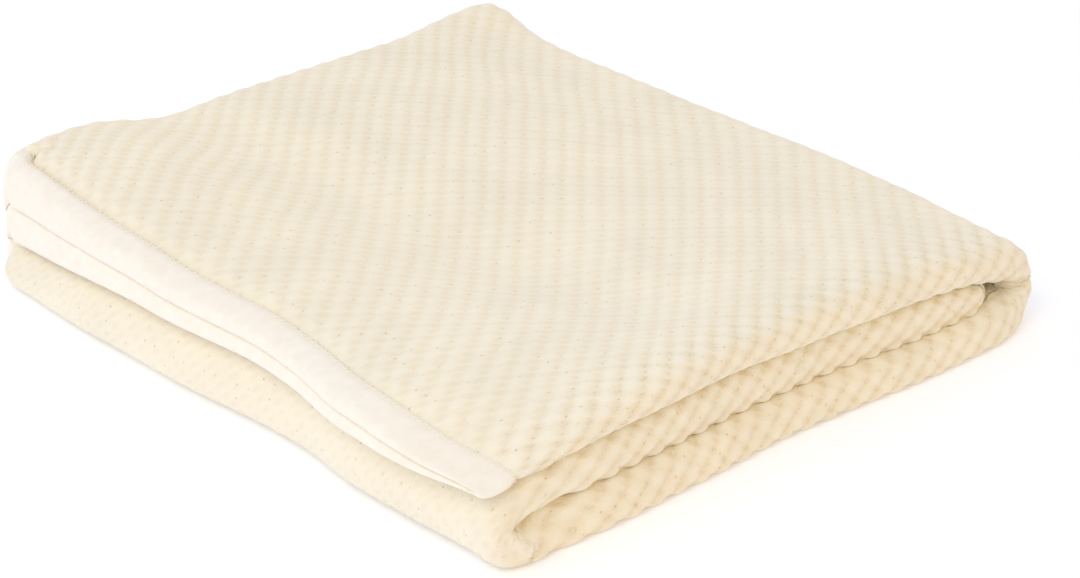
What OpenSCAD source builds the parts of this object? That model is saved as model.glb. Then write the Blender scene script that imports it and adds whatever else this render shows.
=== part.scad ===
// Folded throw blanket: a chunky knitted face backed with fleece. It is folded in half,
// and then in thirds like a letter: the tucked panel first, the flap over it.
// +X runs from the left fold to the right fold, +Y from the rolled half fold to the open
// hems, and +Z up. The origin is the middle of the footprint, on the resting surface.

/* [Folded pack] */
// Width of the pack, from the left fold to the right fold
pack_w = 345; // [240:1:520]
// Depth of the pack, from the half fold to the open hems
pack_d = 372; // [240:1:560]

/* [Cloth] */
// Thickness of the knitted face, with its raised blocks
knit_t = 4.5; // [3:0.25:8]
// Thickness of the fleece lining, with its pile
lining_t = 4.5; // [3:0.25:8]
// Depth of the fleece hem that wraps each cut edge
hem_w = 13; // [9:0.5:20]
// Width of the stitched seam between the knit and a hem
seam_w = 1.5; // [0.5:0.1:3]
// Depth of the groove that the stitches pull into the cloth
seam_groove = 2; // [0.5:0.25:2.5]

/* [Folds] */
// Space inside the half fold, between the two faces of the lining
half_fold_gap = 1; // [0.4:0.1:3]
// Inside radius of each crease of the right fold
crease_r = 5; // [3:0.5:6]
// Space between the bottom panel and the tucked panel
tuck_gap = 0.6; // [0.4:0.1:3]
// Clearance between the tucked panel and the flap on top of it
flap_gap = 0.4; // [0.3:0.1:3]
// Space between the end of the tucked panel and the start of the right fold
tuck_end_gap = 1; // [0.5:0.5:40]
// Distance that the flap's free end stays back from the left fold
flap_inset = 2; // [0:0.5:60]
// Clearance across a crease, at its outside
crease_gap = 0.4; // [0.3:0.1:1]

/* [Care label] */
// Width of the blank care label
label_w = 32; // [15:1:60]
// Length of the care label held between the plies
label_l = 38; // [15:1:60]
// Distance that the care label stays inside the hems
label_inset = 1.5; // [0.5:0.5:10]
// Distance from the label's middle to the left fold
label_place = 95; // [60:1:120]

/* [Hidden] */
$fn = 64;

knit_colour = "#EFE5D0";
fleece_colour = "#F8F3EA";
thread_colour = "#E4D6B8";
label_colour = "#FFFFFF";

// One ply is knit and lining. A panel is two plies with the linings face to face.
ply_t = knit_t + lining_t;
core = half_fold_gap / 2;
panel_t = 2 * (core + ply_t);
pack_h = 3 * panel_t + tuck_gap + flap_gap;

// Middle heights of the three panels
bottom_z = panel_t / 2;
tucked_z = bottom_z + panel_t + tuck_gap;
flap_z = pack_h - panel_t / 2;

// Depth stations, from the half fold's centre line to the cut edge
half_fold_y = -pack_d / 2 + panel_t / 2;
edge_y = pack_d / 2;
hem_y = edge_y - hem_w;
knit_y = hem_y - seam_w;
round_y = edge_y - ply_t / 2;

// The left fold turns the cloth from the bottom panel into the tucked panel.
left_r = (tuck_gap + panel_t) / 2;
left_x = -pack_w / 2 + tuck_gap / 2 + panel_t;
left_z = panel_t + tuck_gap / 2;

// The right fold is two quarter-turn creases with an upright spine between them. Each
// crease is parted at its middle, at 45 degrees, where the cloth hinges.
inner_r = min(crease_r, (panel_t + tuck_gap + flap_gap) / 2 - 0.5);
fold_r = inner_r + panel_t / 2;
outer_r = inner_r + panel_t;
right_x = pack_w / 2 - outer_r;
lower_z = outer_r;
upper_z = pack_h - outer_r;
part_angle = 45;
gap_angle = crease_gap / outer_r * 180 / PI;

// Free ends of the tucked panel and of the flap
tucked_end = right_x - tuck_end_gap;
flap_end = -pack_w / 2 + flap_inset;

// ---------------------------------------------------------------------------------------
// Sections of a doubled panel: thickness across the first axis, depth along the second
// ---------------------------------------------------------------------------------------

// A slab of the doubled panel, from the rolled half fold to a depth station
module rolled_slab(half_t, end_y) {
    translate([-half_t, half_fold_y]) square([2 * half_t, end_y - half_fold_y]);
    translate([0, half_fold_y]) circle(r = half_t);
}

// One layer that runs along both plies and round the half fold
module layer_section(inner, outer, end_y) {
    difference() {
        rolled_slab(outer, end_y);
        rolled_slab(inner, end_y + 1);
    }
}

module knit_section() { layer_section(core + lining_t, core + ply_t, knit_y); }

module lining_section() { layer_section(core, core + lining_t, hem_y); }

// The stitched seam of each ply, drawn down below the face of the knit
module seam_section() {
    depth = knit_t - seam_groove;
    for (side = [-1, 1])
        translate([side * (core + lining_t + depth / 2) - depth / 2, knit_y])
            square([depth, seam_w]);
}

// The hem of each ply, with its rounded edge
module hem_section() {
    for (side = [-1, 1]) {
        translate([side * (core + ply_t / 2) - ply_t / 2, hem_y])
            square([ply_t, round_y - hem_y]);
        hem_edge(side);
    }
}

// The rounded edge of one ply's hem, past its straight part
module hem_edge(side) {
    translate([side * (core + ply_t / 2), round_y])
        intersection() {
            circle(d = ply_t);
            translate([-ply_t / 2, 0]) square([ply_t, ply_t / 2]);
        }
}

// The hem across a free end, all the way round the doubled panel
module end_hem_section() {
    layer_section(core, core + ply_t, round_y);
    for (side = [-1, 1]) hem_edge(side);
}

// The seam across a free end, just inside that hem
module end_seam_section() { layer_section(core + lining_t, core + ply_t - seam_groove, hem_y); }

// ---------------------------------------------------------------------------------------
// Sweeps of a section
// ---------------------------------------------------------------------------------------

// A straight panel between two stations along X
module along_x(from_x, to_x, mid_z) {
    translate([to_x, 0, mid_z]) rotate([0, -90, 0]) linear_extrude(to_x - from_x) children();
}

// A fold about an axis along Y. Angles run from +X, down through -Z.
module about_y(centre_x, centre_z, mid_r, start, sweep) {
    translate([centre_x, 0, centre_z]) rotate([-90, 0, 0]) rotate([0, 0, start])
        rotate_extrude(angle = sweep) translate([mid_r, 0]) children();
}

module bottom_panel() { along_x(left_x, right_x, bottom_z) children(); }

module left_fold() { about_y(left_x, left_z, left_r, 90, 180) children(); }

module lower_crease() {
    start = part_angle + gap_angle / 2;
    about_y(right_x, lower_z, fold_r, start, 90 - start) children();
}

// Lower half of the spine, with its part of the lower crease
module spine_half() {
    about_y(right_x, lower_z, fold_r, 0, part_angle - gap_angle / 2) children();
    translate([right_x + fold_r, 0, lower_z]) linear_extrude(pack_h / 2 - lower_z) children();
}

module fold_spine() {
    spine_half() children();
    translate([0, 0, pack_h]) mirror([0, 0, 1]) spine_half() children();
}

module upper_crease() {
    about_y(right_x, upper_z, fold_r, -90, 90 - part_angle - gap_angle / 2) children();
}

// A strip across the tucked panel's free end, between two distances in from it
module tucked_strip(near, far) {
    along_x(tucked_end - far, tucked_end - near, tucked_z) children();
}

// A strip across the flap's free end, between two distances in from it
module flap_strip(near, far) {
    along_x(flap_end + near, flap_end + far, flap_z) children();
}

// ---------------------------------------------------------------------------------------
// Bottom panel
// ---------------------------------------------------------------------------------------

module bottom_panel_knit() { color(knit_colour) bottom_panel() knit_section(); }

module bottom_panel_lining() { color(fleece_colour) bottom_panel() lining_section(); }

module bottom_panel_seam() { color(thread_colour) bottom_panel() seam_section(); }

module bottom_panel_hem() { color(fleece_colour) bottom_panel() hem_section(); }

// A blank satin label, held between the two plies at the back
module care_label() {
    color(label_colour)
        translate([-pack_w / 2 + label_place - label_w / 2, edge_y - label_inset - label_l,
                   bottom_z - core])
            cube([label_w, label_l, half_fold_gap]);
}

// ---------------------------------------------------------------------------------------
// Left fold, from the bottom panel into the tucked panel
// ---------------------------------------------------------------------------------------

module left_fold_knit() { color(knit_colour) left_fold() knit_section(); }

module left_fold_lining() { color(fleece_colour) left_fold() lining_section(); }

module left_fold_seam() { color(thread_colour) left_fold() seam_section(); }

module left_fold_hem() { color(fleece_colour) left_fold() hem_section(); }

// ---------------------------------------------------------------------------------------
// Tucked panel, with its free end inside the right fold
// ---------------------------------------------------------------------------------------

module tucked_panel_knit() {
    color(knit_colour) along_x(left_x, tucked_end - hem_w - seam_w, tucked_z) knit_section();
}

module tucked_panel_lining() {
    color(fleece_colour) along_x(left_x, tucked_end - hem_w, tucked_z) lining_section();
}

module tucked_panel_seam() {
    color(thread_colour) {
        along_x(left_x, tucked_end - hem_w - seam_w, tucked_z) seam_section();
        tucked_strip(hem_w, hem_w + seam_w) end_seam_section();
    }
}

module tucked_panel_hem() {
    color(fleece_colour) {
        along_x(left_x, tucked_end - hem_w, tucked_z) hem_section();
        tucked_strip(0, hem_w) end_hem_section();
    }
}

// ---------------------------------------------------------------------------------------
// Right fold: the lower crease, the spine and the upper crease
// ---------------------------------------------------------------------------------------

module lower_crease_knit() { color(knit_colour) lower_crease() knit_section(); }

module lower_crease_lining() { color(fleece_colour) lower_crease() lining_section(); }

module lower_crease_seam() { color(thread_colour) lower_crease() seam_section(); }

module lower_crease_hem() { color(fleece_colour) lower_crease() hem_section(); }

module fold_spine_knit() { color(knit_colour) fold_spine() knit_section(); }

module fold_spine_lining() { color(fleece_colour) fold_spine() lining_section(); }

module fold_spine_seam() { color(thread_colour) fold_spine() seam_section(); }

module fold_spine_hem() { color(fleece_colour) fold_spine() hem_section(); }

module upper_crease_knit() { color(knit_colour) upper_crease() knit_section(); }

module upper_crease_lining() { color(fleece_colour) upper_crease() lining_section(); }

module upper_crease_seam() { color(thread_colour) upper_crease() seam_section(); }

module upper_crease_hem() { color(fleece_colour) upper_crease() hem_section(); }

// ---------------------------------------------------------------------------------------
// Flap, with its free end over the left fold
// ---------------------------------------------------------------------------------------

module flap_knit() {
    color(knit_colour) along_x(flap_end + hem_w + seam_w, right_x, flap_z) knit_section();
}

module flap_lining() {
    color(fleece_colour) along_x(flap_end + hem_w, right_x, flap_z) lining_section();
}

module flap_seam() {
    color(thread_colour) {
        along_x(flap_end + hem_w + seam_w, right_x, flap_z) seam_section();
        flap_strip(hem_w, hem_w + seam_w) end_seam_section();
    }
}

module flap_hem() {
    color(fleece_colour) {
        along_x(flap_end + hem_w, right_x, flap_z) hem_section();
        flap_strip(0, hem_w) end_hem_section();
    }
}

bottom_panel_knit();
bottom_panel_lining();
bottom_panel_seam();
bottom_panel_hem();
left_fold_knit();
left_fold_lining();
left_fold_seam();
left_fold_hem();
tucked_panel_knit();
tucked_panel_lining();
tucked_panel_seam();
tucked_panel_hem();
lower_crease_knit();
lower_crease_lining();
lower_crease_seam();
lower_crease_hem();
fold_spine_knit();
fold_spine_lining();
fold_spine_seam();
fold_spine_hem();
upper_crease_knit();
upper_crease_lining();
upper_crease_seam();
upper_crease_hem();
flap_knit();
flap_lining();
flap_seam();
flap_hem();
care_label();
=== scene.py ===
"""Folded throw blanket: a chunky basket knit face on a soft fleece lining, folded in half and then in thirds.

The cloth is one long sheet. Every piece is worked out on two cloth coordinates: a runs along the blanket's length,
through the tucked panel, the left fold, the bottom panel, the right fold and the flap, and v runs across its width,
over the upper ply, round the half fold and back along the lower ply. Sizes are in millimetres until a mesh is made.
"""

import logging
import math
from dataclasses import dataclass
from enum import Enum

import bpy
import numpy as np
from mathutils import Matrix, Vector


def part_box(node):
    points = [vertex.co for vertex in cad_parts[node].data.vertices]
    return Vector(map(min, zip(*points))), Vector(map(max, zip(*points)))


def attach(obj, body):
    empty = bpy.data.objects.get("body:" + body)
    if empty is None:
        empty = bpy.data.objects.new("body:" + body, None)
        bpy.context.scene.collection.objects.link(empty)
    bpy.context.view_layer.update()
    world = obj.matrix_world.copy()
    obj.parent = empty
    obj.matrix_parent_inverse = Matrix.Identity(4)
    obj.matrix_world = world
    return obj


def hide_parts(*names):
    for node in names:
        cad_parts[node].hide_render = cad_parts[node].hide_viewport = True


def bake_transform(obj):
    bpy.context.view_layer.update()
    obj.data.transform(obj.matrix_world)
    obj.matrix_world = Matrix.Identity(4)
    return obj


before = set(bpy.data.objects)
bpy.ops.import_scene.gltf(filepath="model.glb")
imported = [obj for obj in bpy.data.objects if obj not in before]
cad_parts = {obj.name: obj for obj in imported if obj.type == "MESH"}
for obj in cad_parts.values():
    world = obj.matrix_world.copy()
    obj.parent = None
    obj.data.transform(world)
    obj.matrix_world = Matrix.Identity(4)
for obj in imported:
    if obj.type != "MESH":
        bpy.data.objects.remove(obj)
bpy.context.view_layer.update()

MM = 0.001
LOG = logging.getLogger("blanket")


def smooth(x: np.ndarray, low: float, high: float) -> np.ndarray:
    """A soft step: 0 below low, 1 above high, and 3t^2 - 2t^3 between them (low may be above high)."""
    t = np.clip((x - low) / (high - low), 0.0, 1.0)
    return t * t * (3.0 - 2.0 * t)


def hump(x: np.ndarray, centre: float, width: float) -> np.ndarray:
    """A bell curve of height 1 at centre, e^-1 high at centre +- width."""
    return np.exp(-(((x - centre) / width) ** 2))


def rounded(t: np.ndarray, power: float) -> np.ndarray:
    """A rounded shoulder: 0 at t = 0, rising steeply, level at 1 from t = 1: (1 - (1 - t)^p)^(1/p)."""
    inside = np.clip(1.0 - t, 0.0, 1.0)
    return np.clip(1.0 - inside**power, 0.0, 1.0) ** (1.0 / power)


def ripple(x: np.ndarray, y: np.ndarray, length: float, phase: float) -> np.ndarray:
    """Uneven waves of about that length, between -1 and 1: the mean of four sines whose lengths don't divide."""
    k = 2.0 * math.pi / length
    return (
        np.sin(k * (0.91 * x + 0.37 * y) + phase)
        + np.sin(k * (0.43 * x - 1.03 * y) + 2.1 * phase)
        + np.sin(k * (1.37 * x + 0.71 * y) - 1.3 * phase)
        + np.sin(k * (-0.29 * x + 1.61 * y) + 0.7 * phase)
    ) / 4.0


@dataclass(frozen=True)
class PackSizes:
    """The folded pack's sizes at rest, in mm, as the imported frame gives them."""

    left_x: float
    right_x: float
    back_y: float
    height: float
    panel_t: float
    knit_t: float
    bottom_z: float
    tucked_z: float
    flap_z: float
    right_out: float
    tucked_end: float
    flap_end: float
    hem_w: float
    knit_in: float

    @classmethod
    def from_frame(cls) -> "PackSizes":
        """Reads the sizes from the boxes of the frame's nodes.

        Returns:
            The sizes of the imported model.
        """

        def span(node: str, axis: int) -> tuple[float, float]:
            """Lowest and highest place of a node on one axis, in mm."""
            low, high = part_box(node)
            return low[axis] / MM, high[axis] / MM

        left_x, right_x = span("bottom_panel_knit", 0)
        floor_z, bottom_top = span("bottom_panel_knit", 2)
        tucked = span("tucked_panel_knit", 2)
        flap = span("flap_knit", 2)
        back_y = span("left_fold_hem", 1)[1]
        return cls(
            left_x=left_x,
            right_x=right_x,
            back_y=back_y,
            height=flap[1],
            panel_t=bottom_top - floor_z,
            knit_t=span("bottom_panel_lining", 2)[0] - floor_z,
            bottom_z=0.5 * (floor_z + bottom_top),
            tucked_z=0.5 * sum(tucked),
            flap_z=0.5 * sum(flap),
            right_out=span("fold_spine_knit", 0)[1],
            tucked_end=span("tucked_panel_hem", 0)[1],
            flap_end=span("flap_hem", 0)[0],
            hem_w=back_y - span("left_fold_hem", 1)[0],
            knit_in=back_y - span("left_fold_knit", 1)[1],
        )

    @property
    def half_t(self) -> float:
        """Half the thickness of a doubled panel."""
        return 0.5 * self.panel_t

    @property
    def half_fold_y(self) -> float:
        """Where the half fold's turn begins, at the front of the panels."""
        return -self.back_y + self.half_t

    @property
    def outer_r(self) -> float:
        """Outer radius of the right fold's two creases."""
        return self.right_out - self.right_x


@dataclass
class Drape:
    """How the soft pack settles: one smooth change of place for every point, so layers never cross.

    Heights are of the tops of the three doubled panels. The tops slope down towards the right fold and the front
    right corner, the back stands higher and curls over at its edge, a shallow valley runs along the top, the corners
    are rounded, and the rolls at the front bulge outwards in the middle of the pack.

    Attributes:
        sizes: The neat pack.
        top: The flap's height at the front, in the middle.
        back_rise: How much higher the flap is at the back.
        valley: Depth of the valley along the top.
        cap: The greatest height.
        soft: How softly the top levels out below the cap.
        ring: Radius that the back edge curls over, at most.
    """

    sizes: PackSizes
    top: float = 57.0
    back_rise: float = 11.5
    valley: float = 6.5
    cap: float = 69.4
    soft: float = 1.5
    ring: float = 17.8

    def heights(self, x: np.ndarray, y: np.ndarray) -> tuple[np.ndarray, np.ndarray, np.ndarray]:
        """Tops of the bottom panel, the tucked panel and the flap.

        Each is a level plus soft steps and bells at the corners (named by left or right, then back or front), at the
        left edge and where the right fold pinches the tucked panel, plus a low uneven wave.

        Args:
            x: Place across the pack, in mm.
            y: Place along the pack's depth, in mm.

        Returns:
            Three arrays of heights, in mm, of x's shape.
        """
        back, front = self.sizes.back_y, -self.sizes.back_y
        left, right = -self.sizes.right_out, self.sizes.right_out
        depth = (y - front) / (back - front)
        to_right = smooth(x, 40.0, right - 6.0)
        corner_lb = hump(x, left, 75.0) * hump(y, back, 95.0)
        corner_rb = hump(x, right - 14.0, 40.0) * hump(y, back - 14.0, 30.0)
        corner_lf = hump(x, left, 45.0) * hump(y, front, 60.0)
        corner_rf = hump(x, right, 50.0) * hump(y, front, 62.0)
        wave = 0.8 * ripple(x, y, 150.0, 1.3) + 0.4 * ripple(x, y, 62.0, 0.4)
        front_left = smooth(x, 60.0, -60.0) * hump(y, front, 70.0)
        edge_l = hump(x, left, 24.0)
        pinch = smooth(x, 118.0, 150.0) * hump(y, front, 55.0)
        h1 = 17.6 - 2.0 * to_right + 1.0 * corner_rf - 6.5 * corner_lb + 0.4 * wave
        h1 = h1 + 2.2 * front_left - 1.5 * edge_l + 2.5 * pinch
        h2 = 37.2 + 2.5 * depth - 3.5 * to_right - 8.0 * corner_rf - 15.5 * corner_lb + 0.7 * wave
        h2 = h2 + 3.0 * front_left - 5.0 * edge_l + 1.5 * corner_lf - 3.0 * pinch
        h3 = (
            self.top
            + self.back_rise * smooth(depth, 0.3, 0.95)
            - (3.5 + 5.0 * smooth(depth, 0.3, 0.8)) * to_right
            - self.valley * hump(x + 0.14 * y, -58.0, 34.0) * smooth(y, front + 10.0, front + 110.0)
            + 7.0 * hump(x, -115.0, 55.0) * hump(y, back, 70.0)
            + 14.0 * corner_rb
            - 10.5 * corner_lf
            - 9.0 * corner_rf
            - 3.0 * hump(y, front, 16.0)
            - 5.0 * hump(x, left, 20.0)
            + wave
        )
        h3 = self.cap - self.soft * np.logaddexp(0.0, (self.cap - h3) / self.soft)
        return h1, h2, h3

    def settle(self, points: np.ndarray) -> np.ndarray:
        """Moves points of the flat-stacked pack to where they lie in the settled one.

        In turn: heights are stretched layer by layer, the back edge slides back and curls over, the front rolls and
        the left side are pushed out or in, the back corners are rounded, and nothing sinks below the floor.

        Args:
            points: Places in the neat pack, in mm, as an array of shape (..., 3).

        Returns:
            The settled places, of the same shape.
        """
        s = self.sizes
        x, y, z = points[..., 0], points[..., 1], points[..., 2]
        seams = 0.5 * (s.panel_t + s.tucked_z - s.half_t), 0.5 * (s.tucked_z + s.flap_z)
        new_y, shrink = self.back_curl(x, y)
        new_z = self.stretched(x, y, z, seams) * shrink
        front = smooth(y, -100.0, -s.back_y)
        new_y = new_y - self.front_push(x, z, seams) * front - self.corner_knob(x, y, z, seams)
        new_y = new_y + 0.8 * ripple(x, z, 90.0, 2.2) * front
        new_x = self.left_side(x, y, z, seams) - 10.0 * hump(x, s.left_x, 14.0) * hump(z, seams[0], 9.0) * front
        new_x = new_x + 5.0 * smooth(x, 120.0, s.right_out) * smooth(y, 110.0, 160.0) * smooth(z, *seams)
        new_x, new_y = self.round_corner(new_x, new_y, (-s.right_out - 7.0, s.back_y + 16.0), (46.0, 24.0))
        new_x, new_y = self.round_corner(new_x, new_y, (s.right_out + 4.0, s.back_y + 11.5), (14.0, 14.0))
        return np.stack([new_x, new_y, np.maximum(new_z, 0.0)], axis=-1)

    def stretched(self, x: np.ndarray, y: np.ndarray, z: np.ndarray, seams: tuple[float, float]) -> np.ndarray:
        """Heights, stretched evenly within each panel so that its top comes to its settled height.

        Args:
            x: Place across the pack, in mm.
            y: Place along its depth, in mm.
            z: Height, in mm.
            seams: Heights between the three panels, in mm.

        Returns:
            New heights, before the back edge curls over.
        """
        h1, h2, h3 = self.heights(x, y)
        (z1, z2), z3 = seams, self.sizes.height
        return np.where(
            z < z1,
            z * h1 / z1,
            np.where(z < z2, h1 + (z - z1) * (h2 - h1) / (z2 - z1), h2 + (z - z2) * (h3 - h2) / (z3 - z2)),
        )

    def back_curl(self, x: np.ndarray, y: np.ndarray) -> tuple[np.ndarray, np.ndarray]:
        """The back edge slides back and curls over: a ring of 90 degrees, tighter and 100 degrees at the left.

        Args:
            x: Place across the pack, in mm.
            y: Place along its depth, in mm.

        Returns:
            New y, and the share of its height that each place keeps.
        """
        tight = hump(x, -120.0, 50.0)
        ring = self.ring * (1.0 - 0.27 * tight)
        turned = math.radians(90.0) + math.radians(10.0) * tight
        curl_y = self.sizes.back_y - ring * turned
        bend = np.clip((y - curl_y) / ring, 0.0, turned)
        slide = 16.0 + 6.0 * smooth(x, 70.0, 120.0) + 13.5 * smooth(x, -60.0, -120.0)
        slide = slide - 3.0 * smooth(x, -150.0, -self.sizes.right_out)
        new_y = np.minimum(y, curl_y) + slide * smooth(y, -80.0, curl_y) + ring * np.sin(bend)
        return new_y, 1.0 - ring * (1.0 - np.cos(bend)) / self.cap

    def front_push(self, x: np.ndarray, z: np.ndarray, seams: tuple[float, float]) -> np.ndarray:
        """How far the bottom, tucked and top rolls are pushed out at the front, with soft steps between them.

        Args:
            x: Place across the pack, in mm.
            z: Height, in mm.
            seams: Heights between the three panels, in mm.

        Returns:
            The push towards the front, in mm.
        """
        (z1, z2), right = seams, self.sizes.right_out
        low, high = smooth(z, z1 + 4.0, z1 - 4.0), smooth(z, z2 - 4.0, z2 + 4.0)
        push_1 = 11.0 * smooth(x, -20.0, 115.0) - 5.5 * smooth(x, -100.0, -right) - 7.0 * smooth(x, 130.0, right)
        push_1 = push_1 + 2.5 * hump(z, 0.0, 5.0)
        push_2 = -6.0 + 8.0 * smooth(x, 10.0, 100.0)
        push_3 = -5.5 + 8.0 * smooth(x, -60.0, 110.0) - 3.0 * smooth(x, -125.0, -right)
        return low * push_1 + high * push_3 + (1.0 - low - high) * push_2

    def corner_knob(self, x: np.ndarray, y: np.ndarray, z: np.ndarray, seams: tuple[float, float]) -> np.ndarray:
        """The left fold's end at the half fold: a small knob, with a dent beside it.

        Args:
            x: Place across the pack, in mm.
            y: Place along its depth, in mm.
            z: Height, in mm.
            seams: Heights between the three panels, in mm.

        Returns:
            How far the knob stands out at the front, in mm.
        """
        s = self.sizes
        tip = smooth(y, s.half_fold_y + 14.0, s.half_fold_y)
        across = 4.5 * hump(x, s.left_x - 1.0, 5.0) - 5.5 * hump(x, s.left_x + 13.0, 8.0)
        return across * hump(z, seams[0] - 5.0, 7.0) * tip

    def left_side(self, x: np.ndarray, y: np.ndarray, z: np.ndarray, seams: tuple[float, float]) -> np.ndarray:
        """The left side bulges: the fold is squared, more so in two stretches, and the flap's end hangs over it.

        Args:
            x: Place across the pack, in mm.
            y: Place along its depth, in mm.
            z: Height, in mm.
            seams: Heights between the three panels, in mm.

        Returns:
            New x.
        """
        (z1, z2), right = seams, self.sizes.right_out
        side = smooth(x, -110.0, -right)
        square = 5.5 * hump(z, 0.0, 9.0) + np.where(z < z2, 4.5 * hump(z, z2, 8.0), 0.0)
        out = 4.5 * smooth(y, 150.0, 80.0) + 4.5 * smooth(y, -45.0, -90.0) - 3.0 * hump(y, -30.0, 40.0)
        out = out + 2.0 * smooth(z, z2, z1)
        over = 3.0 + 7.0 * smooth(y, 20.0, -120.0) - 2.0 * smooth(y, -140.0, -180.0) - 4.0 * smooth(y, 70.0, 150.0)
        over = over + 2.0 * ripple(y, 0.0 * y, 120.0, 0.9)
        over = over * smooth(x, -60.0, -right) * smooth(z, z2 - 1.5, z2 + 1.5)
        return x - side * (2.0 + square + out) - over - 0.8 * side * ripple(y, z, 110.0, 0.9)

    @staticmethod
    def round_corner(
        x: np.ndarray, y: np.ndarray, corner: tuple[float, float], radii: tuple[float, float]
    ) -> tuple[np.ndarray, np.ndarray]:
        """Rounds a back corner of the pack: squares about the corner's centre become ellipses.

        Args:
            x: Places across.
            y: Places along the depth.
            corner: The sharp corner's x and y; the sign of x says which side it is on.
            radii: How far from the sharp corner the rounding starts, across and along the depth.

        Returns:
            New x and y.
        """
        sign = math.copysign(1.0, corner[0])
        centre_x, centre_y = corner[0] - sign * radii[0], corner[1] - radii[1]
        across = np.maximum(sign * (x - centre_x) / radii[0], 0.0)
        along = np.maximum((y - centre_y) / radii[1], 0.0)
        scale = np.maximum(across, along) / np.maximum(np.hypot(across, along), 1e-9)
        scale = np.where((across > 0.0) & (along > 0.0), scale, 1.0)
        new_x = np.where(across > 0.0, centre_x + sign * radii[0] * across * scale, x)
        new_y = np.where(along > 0.0, centre_y + radii[1] * along * scale, y)
        return new_x, new_y


class Stretch(Enum):
    """The three stretches of the folded length, each as far as it moves as one."""

    TUCKED = "tucked"
    BOTTOM = "bottom"
    FLAP = "flap"


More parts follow.
